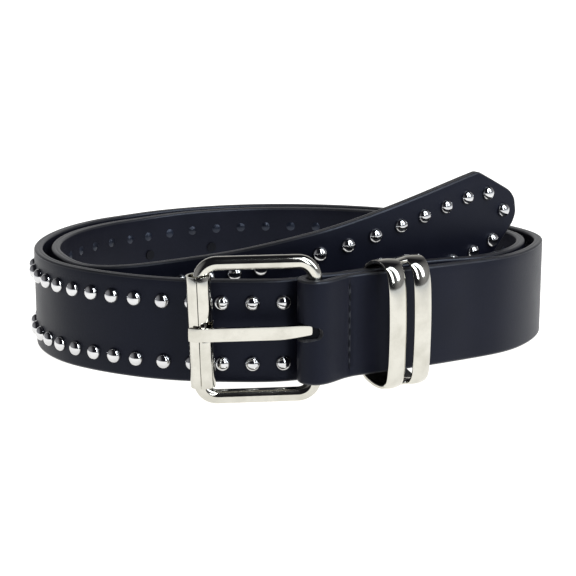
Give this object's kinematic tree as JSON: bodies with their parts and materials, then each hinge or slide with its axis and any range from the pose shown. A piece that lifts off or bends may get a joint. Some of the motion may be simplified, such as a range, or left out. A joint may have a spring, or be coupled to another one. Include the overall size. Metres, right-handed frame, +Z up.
{
  "type": "studded belt",
  "caption": "Black leather belt with two rows of domed studs, a roller buckle and a two-band metal keeper, coiled on its edge with the pointed end rising across the coil.",
  "frame": {"origin": "on the surface it stands on, under the middle of the belt's box", "axes": "+Z up; -Y is the front, where the buckle is; +X is to the right as seen from the front, along the coil's longest extent"},
  "size_m": [0.2026, 0.1764, 0.0697],
  "materials": {
    "leather": "satin",
    "nickel": "polished",
    "chrome": "polished"
  },
  "bodies": {
    "belt": {"strap": "leather", "keeper": "nickel", "stud_01": "chrome", "stud_02": "chrome", "stud_03": "chrome", "stud_04": "chrome", "stud_05": "chrome", "stud_06": "chrome", "stud_07": "chrome", "stud_08": "chrome", "stud_09": "chrome", "stud_10": "chrome", "stud_11": "chrome", "stud_12": "chrome", "stud_13": "chrome", "stud_14": "chrome", "stud_15": "chrome", "stud_16": "chrome", "stud_17": "chrome", "stud_18": "chrome", "stud_19": "chrome", "stud_20": "chrome", "stud_21": "chrome", "stud_22": "chrome", "stud_23": "chrome", "stud_24": "chrome", "stud_25": "chrome", "stud_26": "chrome", "stud_27": "chrome", "stud_28": "chrome", "stud_29": "chrome", "stud_30": "chrome", "stud_31": "chrome", "stud_32": "chrome", "stud_33": "chrome", "stud_34": "chrome", "stud_35": "chrome", "stud_36": "chrome", "stud_37": "chrome", "stud_38": "chrome", "stud_39": "chrome"},
    "buckle": {"buckle_frame": "nickel"},
    "roller": {"roller": "nickel"},
    "tongue": {"tongue": "nickel"}
  },
  "joints": [
    {"name": "buckle_swing", "type": "hinge", "parent": "belt", "child": "buckle", "pos_m": [0.00953, -0.07721, 0.027], "axis": [0, 0, 1], "range_deg": [0, 14]},
    {"name": "roller_spin", "type": "hinge", "parent": "buckle", "child": "roller", "pos_m": [-0.03078, -0.08166, 0.027], "axis": [-0.0327, -0.0036, 0.9995], "continuous": true},
    {"name": "tongue_swing", "type": "hinge", "parent": "buckle", "child": "tongue", "pos_m": [0.00953, -0.07721, 0.027], "axis": [0, 0, 1], "range_deg": [0, 15]}
  ]
}
